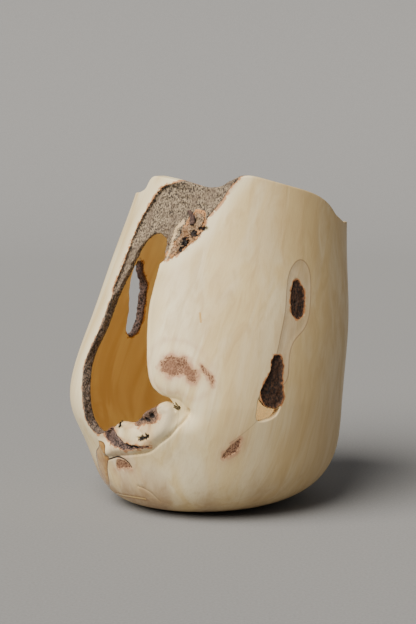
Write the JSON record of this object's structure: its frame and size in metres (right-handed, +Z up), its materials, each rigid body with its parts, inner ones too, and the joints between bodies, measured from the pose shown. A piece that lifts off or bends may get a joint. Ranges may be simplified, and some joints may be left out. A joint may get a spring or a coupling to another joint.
{
  "type": "carved wooden vessel",
  "caption": "Hollow turned wooden vessel with a leaning wall, natural bark-edged openings, dark knots and amber resin-filled cracks.",
  "frame": {"origin": "middle of the vessel's bounding box, on the surface that it stands on", "axes": "+Z up the vessel; the large bark-edged opening faces the front left (-Y and -X) and the vessel leans towards +X"},
  "size_m": [0.1678, 0.1648, 0.1986],
  "materials": {
    "pale_wood": "pale cream sanded wood with soft streaky grain, ochre inside",
    "collar_wood": "paler sanded branch wood",
    "bark": "rough grey-brown speckled bark",
    "dark_bark": "dark purple-brown rough bark",
    "brown_bark": "reddish-brown pitted bark cut level with the wood",
    "knot_wood": "very dark cracked knot wood",
    "resin": "translucent amber resin, polished",
    "resin_gold": "thin golden resin line, polished"
  },
  "bodies": {
    "root": {"vessel_wood": "pale_wood", "callus_roll": "pale_wood", "bark_edge": "bark", "bark_crust": "dark_bark", "twig_stub": "dark_bark", "bark_sill": "dark_bark", "bark_ledge_patch": "brown_bark", "knot_collar": "collar_wood", "knot_plug_upper": "knot_wood", "knot_plug_lower": "knot_wood", "bark_inclusion_front": "brown_bark", "bark_inclusion_foot": "brown_bark", "resin_fill": "resin", "resin_thread": "resin_gold", "bark_crescent": "brown_bark", "back_void_bark": "dark_bark"}
  },
  "joints": []
}
